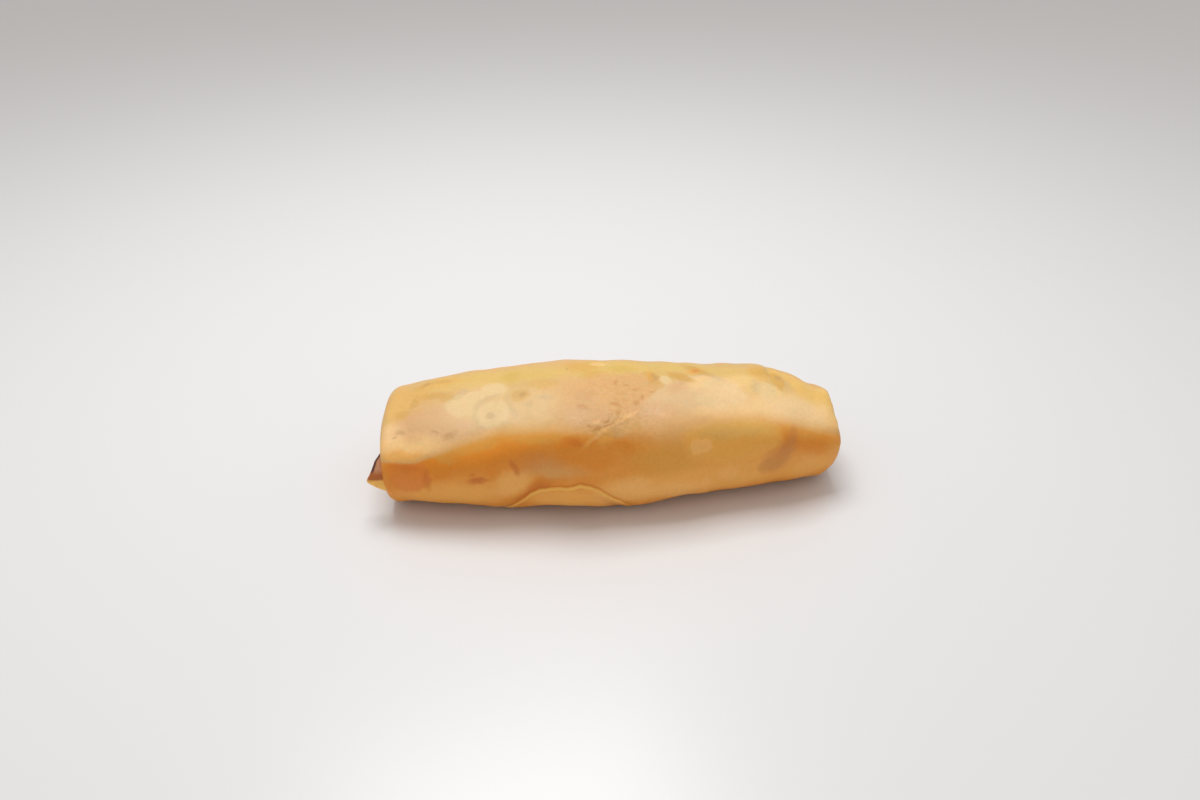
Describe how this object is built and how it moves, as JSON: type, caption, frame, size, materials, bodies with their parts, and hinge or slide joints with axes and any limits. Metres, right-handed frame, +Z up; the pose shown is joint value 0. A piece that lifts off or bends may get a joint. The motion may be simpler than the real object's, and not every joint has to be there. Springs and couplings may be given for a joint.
{
  "type": "fried spring roll",
  "caption": "Deep-fried spring roll, a soft-cornered pastry parcel wound round a filling, with a lifted flap at its front and wound folds at its ends.",
  "frame": {"origin": "under the middle of the roll's box, on the surface that it rests on", "axes": "+X along the roll, from the end with the tongue to the rounded end; +Y to the back, away from the flap; +Z up"},
  "size_m": [0.1092, 0.0382, 0.0276],
  "materials": {
    "pastry": "fried wheat pastry, cream to golden orange, with a thin film of oil"
  },
  "bodies": {
    "root": {"spring_roll": "pastry"}
  },
  "joints": []
}
